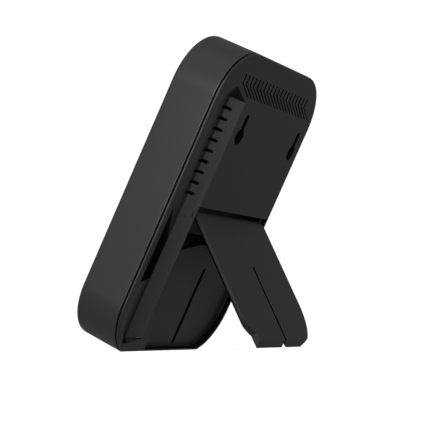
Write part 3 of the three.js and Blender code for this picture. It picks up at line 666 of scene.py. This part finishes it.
def soft_light(name, power, size, at, towards):
    data = bpy.data.lights.new(name, "AREA")
    data.energy = power
    data.shape = "RECTANGLE"
    data.size, data.size_y = size
    lamp = bpy.data.objects.new(name, data)
    bpy.context.scene.collection.objects.link(lamp)
    lamp.location = at
    lamp.rotation_mode = "QUATERNION"
    lamp.rotation_quaternion = (Vector(towards) - Vector(at)).to_track_quat("-Z", "Y")


def pale_floor():
    bm = bmesh.new()
    bmesh.ops.create_grid(bm, x_segments=4, y_segments=4, size=FLOOR_HALF)
    mesh = bpy.data.meshes.new("floor")
    bm.to_mesh(mesh)
    bm.free()
    floor = bpy.data.objects.new("floor", mesh)
    bpy.context.scene.collection.objects.link(floor)
    r = Recipe("pale floor")
    r.set("Base Color", (0.86, 0.86, 0.86, 1.0))
    r.set("Roughness", 0.9)
    r.set("Specular IOR Level", 0.1)
    r.set("Emission Color", (1.0, 1.0, 1.0, 1.0))
    away = r.add("ShaderNodeVectorMath", operation="LENGTH")
    r.link(r.coords, away.inputs[0])
    r.set("Emission Strength", r.spread(away.outputs["Value"], 0.12, 0.5, 0.7, 1.05))
    mesh.materials.append(r.material)
    floor.visible_glossy = False
    floor.visible_diffuse = False


def plain_room(surround):
    world = bpy.data.worlds.new("plain room")
    bpy.context.scene.world = world
    world.use_nodes = True
    tree = world.node_tree
    tree.nodes.clear()
    out = tree.nodes.new("ShaderNodeOutputWorld")
    seen = tree.nodes.new("ShaderNodeBackground")
    seen.inputs["Color"].default_value = (1.0, 1.0, 1.0, 1.0)
    seen.inputs["Strength"].default_value = 1.05
    room = tree.nodes.new("ShaderNodeBackground")
    room.inputs["Color"].default_value = (1.0, 0.985, 0.99, 1.0)
    room.inputs["Strength"].default_value = surround
    path = tree.nodes.new("ShaderNodeLightPath")
    mix = tree.nodes.new("ShaderNodeMixShader")
    tree.links.new(path.outputs["Is Camera Ray"], mix.inputs["Fac"])
    tree.links.new(room.outputs["Background"], mix.inputs[1])
    tree.links.new(seen.outputs["Background"], mix.inputs[2])
    tree.links.new(mix.outputs["Shader"], out.inputs["Surface"])


class PHOTOFRAME_OT_stage(bpy.types.Operator):
    """Lay the floor, hang the lights and set the camera"""

    bl_idname = "photoframe.stage"
    bl_label = "Stage"

    def execute(self, context):
        settings = stage_settings()
        plain_room(settings.surround)
        pale_floor()
        for name, size, at in LIGHTS:
            soft_light(f"{name} light", getattr(settings, f"{name}_light"), size, at, LIGHTS_AIM)
        data = bpy.data.cameras.new("camera")
        data.lens = CAMERA_LENS
        data.sensor_width = 36.0
        data.clip_start, data.clip_end = 0.02, 30.0
        camera = bpy.data.objects.new("camera", data)
        context.scene.collection.objects.link(camera)
        at = HINGE + CAMERA_FROM_HINGE
        look = (HINGE + CAMERA_AIM_FROM_HINGE - at).to_track_quat("-Z", "Y")
        camera.matrix_world = (
            Matrix.Translation(at) @ look.to_matrix().to_4x4() @ Matrix.Rotation(CAMERA_ROLL, 4, "Z"))
        context.scene.camera = camera
        context.scene.view_settings.view_transform = "Standard"
        context.scene.view_settings.look = "None"
        return {"FINISHED"}


class PHOTOFRAME_PT_sidebar(bpy.types.Panel):
    """The photo frame's pieces, sizes and finishes"""

    bl_idname = "PHOTOFRAME_PT_sidebar"
    bl_label = "Photo frame"
    bl_space_type = "VIEW_3D"
    bl_region_type = "UI"
    bl_category = "Photo frame"

    def draw(self, context):
        layout = self.layout
        for group, names in (
            (sizes(), ("case_edge", "back_edge", "stand_edge", "glass_edge", "edge_steps")),
            (finish_of(), ("case_colour", "back_colour", "stand_colour", "grain")),
            (stage_settings(), ("side_light", "top_light", "back_light", "surround")),
        ):
            column = layout.column(align=True)
            for name in names:
                column.prop(group, name)
        column = layout.column(align=True)
        for operator in STEPS:
            column.operator(operator.bl_idname)


STEPS = (
    PHOTOFRAME_OT_stage,
    PHOTOFRAME_OT_case,
    PHOTOFRAME_OT_back,
    PHOTOFRAME_OT_stand,
    PHOTOFRAME_OT_display,
    PHOTOFRAME_OT_works,
    PHOTOFRAME_OT_button,
)
GROUPS = (FrameSizes, FrameFinish, StageSettings)


def register():
    for item in (*GROUPS, *STEPS, PHOTOFRAME_PT_sidebar):
        bpy.utils.register_class(item)
    bpy.types.Scene.photo_frame_sizes = PointerProperty(type=FrameSizes)
    bpy.types.Scene.photo_frame_finish = PointerProperty(type=FrameFinish)
    bpy.types.Scene.photo_frame_stage = PointerProperty(type=StageSettings)


def unregister():
    del bpy.types.Scene.photo_frame_stage
    del bpy.types.Scene.photo_frame_finish
    del bpy.types.Scene.photo_frame_sizes
    for item in reversed((*GROUPS, *STEPS, PHOTOFRAME_PT_sidebar)):
        bpy.utils.unregister_class(item)


def main():
    register()
    for step in STEPS:
        group, name = step.bl_idname.split(".")
        getattr(getattr(bpy.ops, group), name)()


if __name__ == "__main__":
    main()
